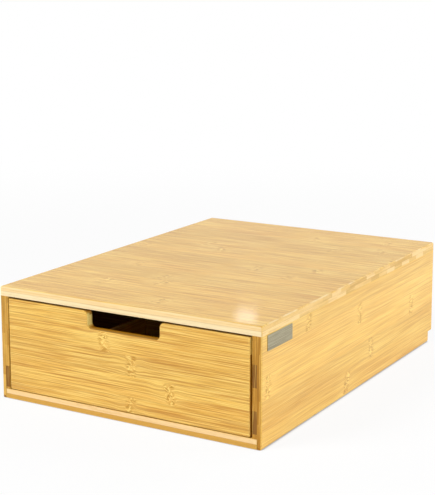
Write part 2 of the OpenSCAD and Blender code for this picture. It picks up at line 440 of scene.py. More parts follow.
# Pattern, where in it the mark starts and is full, its strength and its colour
GRAIN_MARKS = (
    ("streak", 0.46, 0.70, 0.38, AMBER),
    ("line", 0.50, 0.68, 0.42, FIBRE),
    ("line", 0.47, 0.34, 0.38, STRAW),
    ("fibre", 0.50, 0.66, 0.62, FIBRE),
    ("fibre", 0.48, 0.34, 0.55, STRAW),
    ("thread", 0.50, 0.64, 0.56, FIBRE),
    ("thread", 0.48, 0.36, 0.40, STRAW),
)
print("a face has", len(GRAIN_MARKS), "kinds of grain marks")

# %% [markdown]
# ## The colour of a face
#
# The marks go on like glazes: the broad ones first, the single fibres last, then the knuckle over
# them. Blending all of them at once would need weights that add up to one, and glazes need none.
# The sides of the case are painted a little paler towards the top, which is a painted sheen, and
# the inner side of any board is painted darker than its outer side, which is painted shade for the
# inside of the case.

# %% Face colour
PORE_STRENGTH = 0.25
INNER_PAINTED_SHADE = 0.22


def face_colour(f, at, knot, grain, painted_sheen, depth, tone):
    """The broad side of the staves. depth is how strong the grain is, and tone how light."""
    face = f.mix(f.smooth(grain["cloud"], 0.32, 0.70), HONEY, PALE)
    face = f.glaze(face, [
        (f.smooth(grain[pattern], start, full) * (strength * depth), colour)
        for pattern, start, full, strength, colour in GRAIN_MARKS])
    face = f.glaze(face, [
        (grain["pore"] * (PORE_STRENGTH * depth), FIBRE),
        # painted sheen: paler towards the top of the sides
        (painted_sheen, SHEEN_PALE),
        (knot.flare * 0.16, STRAW),
        (knot.band * 0.3, AMBER),
        (knot.band * f.smooth(grain["dash"], 0.50, 0.60) * 0.85, TICK),
        (knot.band * f.smooth(grain["dash"], 0.47, 0.38) * 0.8, STRAW),
        (knot.hair * 0.8, STRAW),
    ])
    # Painted shade: the inner side of every board is darkened, as in the shade inside the case.
    painted_inner_shade = f.smooth(at.out, -0.4, -0.8)
    return f.scale(face, (0.95 + at.luck[2] * 0.09) * tone * (1 - painted_inner_shade * INNER_PAINTED_SHADE))


print(f"the inner side of a board is {INNER_PAINTED_SHADE:.0%} darker")

# %% [markdown]
# ## The colour of edges and ends
#
# Along its edge a board shows its two plies as two tones. Across the end, each stave is a patch
# of its own, dotted with cut fibre bundles and lined by the layers of the cane. A separate
# finish on those faces would need the faces picked one by one, in every notch and groove. The
# way that the surface faces picks them by itself, also where a cut opens the wood.

# %% Edge and end colour
EDGE_WARM = tint(248, 212, 152)
EDGE_TAN = tint(220, 168, 70)
END_PALE = tint(240, 192, 92)
END_TAN = tint(180, 122, 16)
END_BROWN = tint(132, 84, 2)


def edge_colour(f, at, grain, edges):
    """The narrow side of the staves: the tones of the inner and the outer ply."""
    return f.glaze(f.mix(at.ply, *edges), [
        (f.smooth(grain["line"], 0.48, 0.66) * 0.3, EDGE_TAN),
        (grain["pore"] * 0.2, FIBRE),
    ])


def end_colour(f, at, ends, end_tones):
    """End grain, from the first of ends to the last as a stave's tone goes from 0 to 1."""
    tone = at.luck[2]
    for ply, chosen in enumerate(end_tones):
        for stave, value in enumerate(chosen):
            tone = tone + at.stave.equals(stave) * at.ply.equals(ply) * (value - tone)
    lamina = f.noise(at.deep * 0.8, at.side * 0.02, at.stave * 0.3 + at.seed, 1.0)
    bundle = f.node("ShaderNodeTexVoronoi", {"feature": "F1"}, {
        "Vector": f.vector(at.side * 1.1, at.deep * 1.1, at.along * 0.05), "Scale": 1.0})
    dark, middle, pale = ends
    return f.glaze(f.mix(f.smooth(tone, 0.0, 0.3), dark, middle), [
        (f.smooth(tone, 0.3, 0.9), pale),
        (f.smooth(lamina, 0.52, 0.66) * 0.5, pale),
        (f.smooth(lamina, 0.46, 0.34) * 0.4, dark),
        (f.smooth(bundle, 0.42, 0.15) * 0.25, END_BROWN),
    ])


print("end grain runs from", END_BROWN[:3], "to", END_PALE[:3])

# %% [markdown]
# ## Rubbed arrises, with a painted highlight
#
# Hands rub the arrises first: there the lacquer is duller and the colour paler, in a strip that is
# wider in some places than in others. On the top board the same strip is painted much paler, and
# there it is a painted highlight along the rounded arris, so the mask is wear and painted
# highlight at once. Wear could be painted, or found by a node that looks for sharp edges, which
# depends on how finely the mesh is divided. The distance to the board's outer edges is plain
# arithmetic on its box, so it works on any mesh.

# %% Rubbed arrises and painted highlight
# Where the rubbed strip ends and where it is full, and how far it wanders, in millimetres
RUBBED = (1.8, 0.5)
ARRIS_WANDER = 3


def rubbed_and_highlit_arrises(f, at, grain):
    """1 at the nearest outer edge of the board, and 0 a few millimetres from it."""
    x, y, z = ((at.axes[name] - at.low[i] / MM).least(at.high[i] / MM - at.axes[name])
               for i, name in enumerate(AXES))
    away = (x + y).least(y + z).least(z + x)
    return f.smooth(away + (grain["cloud"] - 0.5) * ARRIS_WANDER, *RUBBED)


print(f"arrises are rubbed over {RUBBED[0]} mm")

# %% [markdown]
# ## Bamboo under lacquer
#
# All comes together in one finish: face, edges and ends by the way the surface faces, the glue
# line between the plies, the rubbed arrises with their painted highlight, and over it a clear
# satin lacquer that the thirsty end grain drinks up. The lacquer could be a second shader mixed in
# by hand. The coat of the main shader is made for just that, and it keeps the wood below in the
# right light.

# %% Bamboo
# How far a surface has to face across the grain to be an edge, and along it to be an end
EDGE_TURN = (0.55, 0.9)
END_TURN = (0.8, 0.98)
GLUE_LINE = (0.45, 0.1)
GLUE_SHADE = 0.18
SATIN = 0.36
DULLER = 0.12
THIRST = 0.8


def bamboo(name, node, run, seed, stave_from, outward=1, stave_w=STAVE_W, ply_shift=PLY_SHIFT,
           knuckles=None, end_tones=(), edges=(EDGE_TAN, EDGE_WARM),
           ends=(END_BROWN, END_TAN, END_PALE), depth=1.0, painted_top_sheen=0.0, tone=1.0,
           worn_and_highlit=(0.16, STRAW), coat=(0.4, 0.18)):
    """Pressed bamboo for one board. run names its axes along, across and into the staves, and
    outward is the side that shows. stave_from is where its staves start, in millimetres, knuckles
    the place of the knuckle in some of them, and end_tones how pale the ends of the inner and the
    outer ply are. One more sets how much paler the board is painted towards the top, which is a
    painted sheen, another the strength and colour of the rubbed arrises, which on the top board is
    mostly a painted highlight, and coat the lacquer's weight and roughness."""
    f = Finish(name)
    at = layup(f, node, run, seed, outward, stave_w, stave_from, ply_shift)
    # Painted sheen: the board is painted paler towards its top.
    painted_sheen = at.up * painted_top_sheen
    knot = knuckle(f, at, knuckles or {}, painted_sheen)
    grain = fibres(f, at, knot)

    on_edge = f.smooth(at.to_side, *EDGE_TURN)
    on_end = f.smooth(at.to_grain, *END_TURN)
    sawn = on_edge + on_end - on_edge * on_end
    # Rubbed arrises: wear, and on the top board mostly a painted highlight.
    rubbed = rubbed_and_highlit_arrises(f, at, grain)
    glue = f.smooth(at.off_glue, *GLUE_LINE)
    colour = f.glaze(face_colour(f, at, knot, grain, painted_sheen, depth, tone), [
        (on_edge, edge_colour(f, at, grain, edges)),
        (on_end, end_colour(f, at, ends, end_tones)),
        (sawn * glue * GLUE_SHADE, END_BROWN),
        (rubbed * (1 - on_end) * worn_and_highlit[0], worn_and_highlit[1]),
    ])
    height = grain["fibre"] * 0.05 + grain["thread"] * 0.02 - grain["pore"] * 0.05
    bump = {"Height": height, "Strength": 0.6, "Distance": MM}
    return f.close(f.node("ShaderNodeBsdfPrincipled", None, {
        "Base Color": colour,
        "Roughness": SATIN + grain["fibre"] * 0.10 + sawn * DULLER + rubbed * DULLER,
        "Normal": f.node("ShaderNodeBump", None, bump),
        "Coat Weight": (1 - on_end * THIRST) * coat[0], "Coat Roughness": coat[1], "IOR": 1.5,
    }))


print("the lacquer's roughness starts at", SATIN)

# %% [markdown]
# ## Beech
#
# The dowels are turned from beech, which is paler and shows short flecks instead of long fibres.
# They stay hidden in the joints, so a full wood finish would be wasted on them: one stretched
# noise gives the flecks, and the same noise roughens them.

# %% Beech
BEECH_LIGHT = tint(222, 184, 135)
BEECH_DARK = tint(196, 150, 100)


def beech():
    f = Finish("beech")
    x, y, z = f.split(f.node("ShaderNodeTexCoord", out="Object"))
    fleck = f.noise(x * 900, y * 900, z * 220, 3.0)
    bump = {"Height": fleck, "Strength": 0.3, "Distance": 0.1 * MM}
    return f.close(f.node("ShaderNodeBsdfPrincipled", None, {
        "Base Color": f.mix(f.smooth(fleck, 0.4, 0.7), BEECH_LIGHT, BEECH_DARK),
        "Roughness": 0.5 + fleck * 0.2, "Normal": f.node("ShaderNodeBump", None, bump),
    }))


BEECH = beech()

# %% [markdown]
# ## Brushed steel
#
# The small plate on the right side is thin steel, brushed along its length. Anisotropic shading
# could stretch its highlights, but on so small a plate that would hardly show. So one noise,
# drawn out along the plate, makes the brush marks in colour, roughness and height together, and
# a second one clouds it as fingers do.

# %% Brushed steel
STEEL_DARK = tint(150, 141, 113)
STEEL_LIGHT = tint(192, 184, 156)


def brushed_steel():
    f = Finish("brushed steel")
    x, y, z = f.split(f.node("ShaderNodeTexCoord", out="Object"))
    brush = f.noise(x * 300, y * 22, z * 1900, 3.0, 0.6)
    cloud = f.noise(x * 60, y * 60, z * 120)
    colour = f.mix(f.smooth(brush, 0.35, 0.7), STEEL_DARK, STEEL_LIGHT)
    bump = {"Height": brush, "Strength": 0.4, "Distance": 0.05 * MM}
    return f.close(f.node("ShaderNodeBsdfPrincipled", None, {
        "Base Color": f.scale(colour, 0.92 + cloud * 0.16), "Metallic": 0.75,
        "Roughness": 0.38 + brush * 0.15, "Normal": f.node("ShaderNodeBump", None, bump),
    }))


STEEL = brushed_steel()

# %% [markdown]
# ## Machine cuts
#
# Every cut in this object repeats: four dowel holes in a row, three dados in a box side, two
# laps in a cross divider. A single groove is a row of one. A stack of Boolean modifiers would
# cut them too, but it needs a cutter object for every hole. One Geometry Nodes tree makes them
# all: it sets a box or a drill along a line and takes the whole row out of the board at once.

# %% Cut-row tree
DRILL_SIDES = 24
CUT_SOCKETS = {
    "Board": "Geometry", "Size": "Vector", "Drill": "Bool", "First": "Vector",
    "Step": "Vector", "Count": "Int", "Turn": "Rotation", "Finish": "Material",
}


def cut_row_tree():
    tree = bpy.data.node_groups.new("cut row", "GeometryNodeTree")
    for name, kind in CUT_SOCKETS.items():
        tree.interface.new_socket(name, in_out="INPUT", socket_type="NodeSocket" + kind)
    tree.interface.new_socket("Board", in_out="OUTPUT", socket_type="NodeSocketGeometry")

    g = Graph(tree)
    given = {name: g.node("NodeGroupInput", out=name) for name in CUT_SOCKETS}
    width, _, length = g.split(given["Size"])
    saw = g.node("GeometryNodeMeshCube", None, {"Size": given["Size"]}, out="Mesh")
    drill = g.node("GeometryNodeMeshCylinder", None, {
        "Vertices": DRILL_SIDES, "Radius": width * 0.5, "Depth": length}, out="Mesh")
    cutter = g.node("GeometryNodeSwitch", {"input_type": "GEOMETRY"}, {
        "Switch": given["Drill"], "False": saw, "True": drill})
    row = g.node("GeometryNodeMeshLine", {"mode": "OFFSET", "count_mode": "TOTAL"}, {
        "Count": given["Count"], "Start Location": given["First"], "Offset": given["Step"]})
    cutters = g.node("GeometryNodeInstanceOnPoints", None, {
        "Points": row, "Instance": cutter, "Rotation": given["Turn"]})
    left = g.node("GeometryNodeMeshBoolean", {"operation": "DIFFERENCE", "solver": "EXACT"}, {
        "Mesh 1": given["Board"], "Mesh 2": cutters})
    whole = g.node("GeometryNodeRealizeInstances", None, {"Geometry": left})
    dressed = g.node("GeometryNodeSetMaterial", None, {
        "Geometry": whole, "Material": given["Finish"]})
    g.node("NodeGroupOutput", None, {"Board": dressed})
    return tree


CUT_ROW = cut_row_tree()
CUT_INPUT = {s.name: s.identifier for s in CUT_ROW.interface.items_tree if s.in_out == "INPUT"}
print("cut row nodes:", len(CUT_ROW.nodes), "inputs:", list(CUT_INPUT))

# %% [markdown]
# ## Asking for a cut
#
# A joiner marks where the first cut goes, how far to the next, and how many there are. The
# modifier's inputs hold just that. They could be typed into its panel, and a function that sets
# them by their identifiers says the same in one line for each row, next to the board it is for.

# %% Cut
NO_TURN = (0, 0, 0)
ALONG_X = (0, math.pi / 2, 0)
ALONG_Y = (math.pi / 2, 0, 0)


def cut(board, finish, size, first, step=(0, 0, 0), count=1, drill=False, turn=NO_TURN):
    """Takes a row of equal cuts out of a board. first is the centre of the first cut."""
    row = board.modifiers.new("cut", "NODES")
    row.node_group = CUT_ROW
    given = {"Size": size, "First": first, "Step": step, "Count": count, "Drill": drill,
             "Turn": turn, "Finish": finish}
    for name, value in given.items():
        if isinstance(value, (tuple, Vector)):
            value = [float(v) for v in value]
        row[CUT_INPUT[name]] = value


print("a drill stands upright, and turns by", [round(t, 2) for t in ALONG_X], "to lie along X")

# %% [markdown]
# ## Blanks
#
# A blank is a sawn board whose outer arrises are rounded over, because those catch the light all
# round the object. A Bevel modifier rounds every edge alike, or those with a weight that has to
# be painted on. Here the edges are picked by where their middles lie while the board is still a
# cube from -1 to 1, and rounded in the mesh at once.

# %% Blank
ROUND_STEPS = 5


def link(name, mesh):
    piece = bpy.data.objects.new(name, mesh)
    bpy.context.collection.objects.link(piece)
    return piece


def blank(name, low, high, radius=0.0, eased=None):
    """A board from corner to corner. eased(mid) picks the edges to round, by their middle,
    which is -1, 0 or 1 on each axis."""
    bm = bmesh.new()
    bmesh.ops.create_cube(bm, size=2.0)
    if radius:
        picked = [e for e in bm.edges if eased((e.verts[0].co + e.verts[1].co) / 2)]
    for vert in bm.verts:
        vert.co = [low[i] if vert.co[i] < 0 else high[i] for i in range(3)]
    if radius:
        bmesh.ops.bevel(bm, geom=picked, offset=radius, segments=ROUND_STEPS, profile=0.5,
                        affect="EDGES", clamp_overlap=False)
    mesh = bpy.data.meshes.new(name)
    bm.to_mesh(mesh)
    bm.free()
    return link(name, mesh)


print("arrises are rounded in", ROUND_STEPS, "steps")

# %% [markdown]
# ## Sanding and dressing
#
# One pass of sandpaper breaks every edge that the machines left sharp. A small bevel on all
# edges over a certain angle does the same, after the cuts are made. Smooth shading alone would
# then bend the light across the flat faces, so weighted normals keep those flat. The modifiers
# are turned into plain mesh before the piece is handed to the frame, which carries it from then
# on: it rides on its body and, if it has one, takes the place of its plain solid.

# %% Dress
BREAK_EDGE = 0.25 * MM
BREAK_STEPS = 2
SHARP_ANGLE = math.radians(50)
SMOOTH_ANGLE = math.radians(40)


def settle(piece):
    """Turns what the modifiers make into the piece's own plain mesh."""
    graph = bpy.context.evaluated_depsgraph_get()
    mesh = bpy.data.meshes.new_from_object(piece.evaluated_get(graph))
    piece.modifiers.clear()
    old = piece.data
    piece.data = mesh
    mesh.name = piece.name
    bpy.data.meshes.remove(old)


def dress(piece, finish, body, node, broken=BREAK_EDGE):
    """Breaks the sharp edges, smooths the round ones, and hands the piece to the frame."""
    bevel = piece.modifiers.new("broken edges", "BEVEL")
    bevel.width = broken
    bevel.segments = BREAK_STEPS
    bevel.limit_method = "ANGLE"
    bevel.angle_limit = SHARP_ANGLE
    settle(piece)
    piece.data.shade_smooth()
    piece.data.set_sharp_from_angle(angle=SMOOTH_ANGLE)
    weighted = piece.modifiers.new("flat faces", "WEIGHTED_NORMAL")
    weighted.keep_sharp = True
    settle(piece)
    piece.data.materials.clear()
    piece.data.materials.append(finish)
    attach(piece, body)
    if node:
        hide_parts(node)
    print(piece.name, "faces:", len(piece.data.polygons))
    return piece


print(f"sharp edges are broken by {BREAK_EDGE / MM} mm")

# %% [markdown]
# ## Rows of dowels
#
# Dowels pin the boards edge to edge, in rows of equal steps, and every row of holes has to match
# its dowels. The holes could be placed by number. Here each row is read from the box round its
# dowels in the frame, so the two can't drift apart. A hole is a little wider and longer than its
# dowel, to leave room for glue. Many rows have a twin on the other side of the case.

# %% Dowel rows
GLUE = 0.2 * MM
HOLE_SPARE = 2 * MM


def extent(node, axis):
    low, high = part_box(node)
    return high[axis] - low[axis]


def dowel_row(node, count, spread, diameter, length, turn=NO_TURN, middle=0.0, off=0.0):
    """The holes for a row of dowels that are spread along an axis. Twin rows lie off to both
    sides of a middle."""
    low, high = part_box(node)
    first = (low + high) / 2
    first[spread] = low[spread] + diameter / 2
    step = Vector((0, 0, 0))
    step[spread] = (high[spread] - low[spread] - diameter) / (count - 1)
    size = (diameter + GLUE, diameter + GLUE, length + HOLE_SPARE)
    print(node, "in steps of", round(step[spread] / MM, 1), "mm")
    return SimpleNamespace(first=first, step=step, count=count, size=size, turn=turn,
                           middle=middle, off=off)


def drill(board, finish, row, side=0):
    """Drills a row. side is 1 or -1 for the right or the left one of two twins."""
    first = row.first.copy()
    if side:
        first.x = row.middle + side * row.off
    cut(board, finish, row.size, first, row.step, row.count, drill=True, turn=row.turn)


print(f"a hole is {GLUE / MM} mm wider and {HOLE_SPARE / MM} mm longer than its dowel")

# %% [markdown]
# ## The boards of the case
#
# The top lies over both sides, the sides are rabbeted along the foot for the bottom board and
# notched behind it, and the back board stands on the bottom board between the sides. All sizes
# could be typed in again, but the frame already has them, so the corners and the rows of dowel
# holes are taken from it.

# %% Case sizes
EASE = 2.0 * MM
TOP_DOWEL = 6 * MM
BACK_DOWEL = 5 * MM
BACK_DOWEL_LENGTH = 20 * MM

top_low, top_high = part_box("top_board")
right_low, right_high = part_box("right_side_board")
floor_low, floor_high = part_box("bottom_board")
back_low, back_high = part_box("back_board")

top_row = dowel_row("top_dowels", count=4, spread=Y, diameter=TOP_DOWEL,
                    length=extent("top_dowels", Z),
                    off=top_high.x - (right_high.x - right_low.x) / 2)
foot_row = dowel_row("back_foot_dowels", count=3, spread=X, diameter=BACK_DOWEL,
                     length=extent("back_foot_dowels", Z))
side_row = dowel_row("back_side_dowels", count=2, spread=Z, diameter=BACK_DOWEL,
                     length=BACK_DOWEL_LENGTH, turn=ALONG_X,
                     off=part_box("back_side_dowels")[1].x - BACK_DOWEL_LENGTH / 2)

# %% [markdown]
# ## The top board
#
# The top is what a hand wipes and a machine stands on, so its upper arrises and its corners are
# rounded over and rubbed pale, and painted paler still as a painted highlight along the rounded
# arris. Its staves run from side to side, with their ends showing at the sides and two ply tones
# along the front. The lower edges stay sharp: where two boards meet flush, a rounded one would
# leave a groove along the joint. The thin lacquer on it is glossier than elsewhere.

# %% Top board
CASE_STAVES = -215
EDGE_CREAM = tint(248, 226, 178)
TOP_EDGE = tint(246, 214, 154)
TOP_END_DARK = tint(208, 166, 90)
TOP_END = tint(228, 188, 110)
TOP_END_PALE = tint(243, 209, 146)
# End tones of the first six staves from the front, in the lower and in the upper ply
TOP_TONES = ((1.0, 1.0, 1.0, 1.0, 0.5, 0.5), (0.5,) * 6)


def top_board():
    # The strong cream arris on the top is a painted highlight along the rounded edge.
    finish = bamboo("bamboo top", "top_board", "XYZ", seed=3, stave_from=CASE_STAVES,
                    edges=(EDGE_CREAM, TOP_EDGE), ends=(TOP_END_DARK, TOP_END, TOP_END_PALE),
                    end_tones=TOP_TONES, depth=1.15, worn_and_highlit=(0.85, EDGE_CREAM), coat=(0.22, 0.07))
    board = blank("top_board_lacquered", top_low, top_high, EASE, lambda mid: mid.z > -0.5)
    drill(board, finish, top_row, 1)
    drill(board, finish, top_row, -1)
    return dress(board, finish, "case", "top_board")


top_board()

# %% [markdown]
# ## The side boards
#
# A side is one board with a rabbet along its foot, a notch at its rear foot, and dowel holes.
# It could be modelled as an outline pushed to its thickness, but sawing it from a blank gives
# the same shape in the order of the workshop, and the wood inside the cuts is right at once. A
# cut at an edge is centred on that edge, so it is twice as deep as what it takes away.
#
# Its end grain shows at the front, beside the drawer, where some staves of the inner ply are much
# darker. Those tones and the places of the knuckles are given one by one.

# %% Side boards
RABBET = 5 * MM
SEAM = 0.3 * MM
OVER = 2 * MM
NOTCH_ACROSS = 20 * MM
FOOT_NOTCH = 12.5 * MM

# Staves count from the foot, in millimetres
SIDE_STAVE_W = 22.6
SIDE_STAVES = 2.4
SIDE_PLY_SHIFT = {1: 10.2, -1: 12.6}
SIDE_KNUCKLES = {0: -27.5, 1: 34.0, 2: -202.7, 3: 2.4}
# End tones from the foot up, in the inner and in the outer ply
SIDE_TONES = {
    1: ((0.4, 0.02, 0.4, 0.02, 0.4, 0.4), (0.4, 0.3, 0.35, 0.3, 0.4)),
    -1: ((0.5, 0.02, 0.6, 0.5, 0.6, 0.6), (0.7, 0.5, 0.6, 0.4, 0.5)),
}


def side_board(label, side, seed):
    node = f"{label}_side_board"
    low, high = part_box(node)
    # The sides are painted paler towards the top, a painted sheen.
    finish = bamboo(f"bamboo {label}", node, "YZX", seed, stave_from=SIDE_STAVES, outward=side,
                    stave_w=SIDE_STAVE_W, ply_shift=SIDE_PLY_SHIFT[side],
                    knuckles=SIDE_KNUCKLES, end_tones=SIDE_TONES[side],
                    depth=0.54, painted_top_sheen=0.10, tone=0.985, coat=(0.25, 0.18))
    board = blank(f"{label}_side_lacquered", low, high, EASE,
                  lambda mid: mid.x * side > 0.5 and mid.z < 0.5)
    inner = low.x if side > 0 else high.x
    rabbet = Vector((2 * (RABBET + SEAM), high.y - low.y + 2 * OVER, 2 * floor_high.z))
    cut(board, finish, rabbet, (inner, (low.y + high.y) / 2, 0))
    notch = Vector((NOTCH_ACROSS, 2 * (high.y - back_high.y), 2 * FOOT_NOTCH))
    cut(board, finish, notch, ((low.x + high.x) / 2, high.y, 0))
    drill(board, finish, top_row, side)
    drill(board, finish, side_row, side)
    return dress(board, finish, "case", node)


side_board("right", side=1, seed=5)
side_board("left", side=-1, seed=8)

# %% [markdown]
# ## The bottom and the back board
#
# The bottom board fills the rabbets of both sides and shows its two plies in front, under the
# drawer. The back board closes the case and stops the drawer. Nobody looks at it, so it gets a
# thin matt coat, and its lower tone paints shade into the inside of the case: the same bamboo
# finish with less lacquer and a lower tone, which is simpler than a finish of its own. Both are
# plain blanks, because their edges meet other boards all round.

# %% Bottom and back
BACK_STAVES = 10
BOARD_EDGE = tint(212, 160, 60)
# A lower tone that paints shade into the inside of the case and of the drawer
SHADE_TONE = 0.80
MATT = (0.12, 0.18)


def bottom_board():
    finish = bamboo("bamboo bottom", "bottom_board", "XYZ", seed=11, stave_from=CASE_STAVES,
                    edges=(BOARD_EDGE, EDGE_WARM))
    board = blank("bottom_board_lacquered", floor_low, floor_high)
    drill(board, finish, foot_row)
    return dress(board, finish, "case", "bottom_board")


def back_board():
    finish = bamboo("bamboo back", "back_board", "XZY", seed=17, stave_from=BACK_STAVES,
                    tone=SHADE_TONE, coat=MATT)
    board = blank("back_board_lacquered", back_low, back_high)
    drill(board, finish, side_row, 1)
    drill(board, finish, side_row, -1)
    drill(board, finish, foot_row)
    return dress(board, finish, "case", "back_board")


bottom_board()
back_board()

# %% [markdown]
# ## The outline of the drawer front
#
# The front is the piece that the hand and the eye meet. The notch in its upper edge is the only
# handle: a router cut with round corners, which also run out round at the top. The notch could
# be cut with a box and then bevelled, but the arris would break where the two meet. So the whole
# outline is drawn first, with its arcs, and later pushed back to the thickness of the board.

# %% Front outline
NOTCH_W = 86 * MM
NOTCH_H = 18 * MM
NOTCH_R = 5 * MM
ARC_STEPS = 8

front_low, front_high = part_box("drawer_front")
drawer_x = (front_low.x + front_high.x) / 2


def arc(cx, cz, radius, start, end):
    """Points on an arc in the plane of the front, angles in degrees from +X."""
    turns = [math.radians(start + (end - start) * i / ARC_STEPS) for i in range(ARC_STEPS + 1)]
    return [(cx + radius * math.cos(t), cz + radius * math.sin(t)) for t in turns]


def front_outline():
    """The drawer front seen from the front, counterclockwise from its lower left corner."""
    half = NOTCH_W / 2
    top, base = front_high.z, front_high.z - NOTCH_H
    right_lip = arc(drawer_x + half + NOTCH_R, top - NOTCH_R, NOTCH_R, 90, 180)
    right_corner = arc(drawer_x + half - NOTCH_R, base + NOTCH_R, NOTCH_R, 0, -90)
    left_corner = arc(drawer_x - half + NOTCH_R, base + NOTCH_R, NOTCH_R, -90, -180)
    left_lip = arc(drawer_x - half - NOTCH_R, top - NOTCH_R, NOTCH_R, 0, 90)
    return [(front_low.x, front_low.z), (front_high.x, front_low.z), (front_high.x, top),
            *right_lip, *right_corner, *left_corner, *left_lip, (front_low.x, top)]


print("points in the front's outline:", len(front_outline()))

# %% [markdown]
# ## The blank of the drawer front
#
# A joiner eases the front with one pass of a round-over bit that follows the outline through the
# notch. A Bevel modifier limited by angle would round the rim at the back and the corners too.
# The extrusion keeps the first face, so all edges that lie in its plane are that outline, and
# one bevel on just those makes the arris run unbroken.

# %% Front blank
FRONT_EASE = 1.2 * MM
FRONT_STEPS = 4


def front_blank():
    bm = bmesh.new()
    outline = [bm.verts.new((x, front_low.y, z)) for x, z in front_outline()]
    face = bm.faces.new(outline)
    push = Vector((0, front_high.y - front_low.y, 0))
    pushed = bmesh.ops.extrude_face_region(bm, geom=[face], use_keep_orig=True)
    moved = [g for g in pushed["geom"] if isinstance(g, bmesh.types.BMVert)]
    bmesh.ops.translate(bm, vec=push, verts=moved)
    bmesh.ops.recalc_face_normals(bm, faces=bm.faces)
    rim = [e for e in bm.edges if all(abs(v.co.y - front_low.y) < BREAK_EDGE for v in e.verts)]
    bmesh.ops.bevel(bm, geom=rim, offset=FRONT_EASE, segments=FRONT_STEPS, profile=0.5,
                    affect="EDGES")
    mesh = bpy.data.meshes.new("drawer_front_lacquered")
    bm.to_mesh(mesh)
    bm.free()
    return link("drawer_front_lacquered", mesh)


print(f"the front's arris is rounded by {FRONT_EASE / MM} mm")

# %% [markdown]
# ## The joints of the drawer
#
# The bottom panel floats in a groove that runs round all four boards of the drawer, and dowels
# hold those together at the corners. Each board could have numbers of its own for both. Read from
# the frame once, with the fit that the panel needs, they give the front, the sides and the back
# cuts that meet.

# %% Drawer joints
BOX_DOWEL = 5 * MM
FIT = 0.2 * MM

panel_low, panel_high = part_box("drawer_panel")
box_side_t = extent("drawer_right_side", X)
box_dowel_length = extent("drawer_front_dowels", Y)
rear_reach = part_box("drawer_back_dowels")[1].x - drawer_x

front_row = dowel_row("drawer_front_dowels", count=2, spread=Z, diameter=BOX_DOWEL,
                      length=box_dowel_length, turn=ALONG_Y,
                      middle=drawer_x, off=(front_high.x - drawer_x) - box_side_t / 2)
rear_row = dowel_row("drawer_back_dowels", count=2, spread=Z, diameter=BOX_DOWEL,
                     length=box_dowel_length, turn=ALONG_X,
                     middle=drawer_x, off=rear_reach - box_dowel_length / 2)


def groove_panel(board, finish):
    """The groove for the bottom panel: a little larger than the panel, all round."""
    gap = Vector((FIT, FIT, FIT))
    low, high = panel_low - gap, panel_high + gap
    cut(board, finish, high - low, (low + high) / 2)


# %% [markdown]
# ## The drawer front
#
# Five staves lie across the front, each with its knuckle in a place of its own, and the notch cuts
# through the upper one. Inside the notch the cut staves show pale ends. The lot could place all
# knuckles, but these are at eye level and give the front its face, so their places are listed,
# from the foot up.

# %% Drawer front
# The front's edge tones are darker than the case's, partly painted shade on the notch floor and
# along the gap under the top.
NOTCH_EDGE = tint(180, 136, 64)
NOTCH_END = tint(255, 232, 140)
FRONT_STAVES = 5.6
FRONT_KNUCKLES = {0: 6.8, 1: 53.9, 2: 8.6, 3: -24.2, 4: 170.0}
# The lower four staves get dark ends, which paints shade into the gap beside the drawer; the top
# stave's pale ends show in the notch.
FRONT_TONES = ((0.3, 0.3, 0.3, 0.3, 0.95),) * 2


def drawer_front():
    finish = bamboo("bamboo drawer front", "drawer_front", "XZY", seed=23,
                    stave_from=FRONT_STAVES, outward=-1,
                    knuckles=FRONT_KNUCKLES, edges=(END_TAN, NOTCH_EDGE),
                    ends=(END_BROWN, END_TAN, NOTCH_END), end_tones=FRONT_TONES)
    board = front_blank()
    groove_panel(board, finish)
    drill(board, finish, front_row, 1)
    drill(board, finish, front_row, -1)
    return dress(board, finish, "drawer", "drawer_front")


drawer_front()

# %% [markdown]
# ## The sides of the drawer box
#
# Behind the front is a plain grooved box. Each side carries the groove for the panel along its
# whole foot, and three dados that are open at the top, so that the cross dividers drop in. The
# dados could be cut one by one, but as one row of cuts they are stepped as the dividers are. All
# of it shows when the drawer is pulled out, so it gets the same bamboo as the case, with a
# fainter grain and a thin matt lacquer instead of the satin one.

# %% Box sides
GROOVE = 4 * MM
DADO = 2.5 * MM
BOX_EASE = 1.0 * MM
BOX_STAVES = 10
# The lower tone paints shade into the inside of the drawer.
INNER = {"depth": 0.8, "tone": SHADE_TONE, "coat": MATT}
CROSS = ("cross_divider_front", "cross_divider_middle", "cross_divider_rear")

cross_boxes = [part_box(node) for node in CROSS]
cross_ys = [(low.y + high.y) / 2 for low, high in cross_boxes]
DIVIDER_T = cross_boxes[0][1].y - cross_boxes[0][0].y
SLOT_W = DIVIDER_T + 2 * FIT


def rim_along(axis):
    """Picks the two upper edges of a board that run along an axis."""
    return lambda mid: mid.z > 0.5 and abs(mid[axis]) < 0.5


def box_side(label, side, seed):
    name, node = f"box_{label}_lacquered", f"drawer_{label}_side"
    low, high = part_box(node)
    finish = bamboo("bamboo " + name, node, "YZX", seed, stave_from=BOX_STAVES, outward=side,
                    **INNER)
    board = blank(name, low, high, BOX_EASE, rim_along(Y))
    inner = low.x if side > 0 else high.x
    groove_low = panel_low.z - FIT
    groove = Vector((2 * GROOVE, high.y - low.y + 2 * OVER, panel_high.z + FIT - groove_low))
    cut(board, finish, groove, (inner, (low.y + high.y) / 2, groove_low + groove.z / 2))
    dado = Vector((2 * DADO, SLOT_W, 2 * (high.z - panel_low.z)))
    step = (0, cross_ys[1] - cross_ys[0], 0)
    cut(board, finish, dado, (inner, cross_ys[0], high.z), step, len(cross_ys))
    drill(board, finish, front_row, side)
    drill(board, finish, rear_row, side)
    return dress(board, finish, "drawer", node)


box_side("left", side=-1, seed=31)
box_side("right", side=1, seed=37)

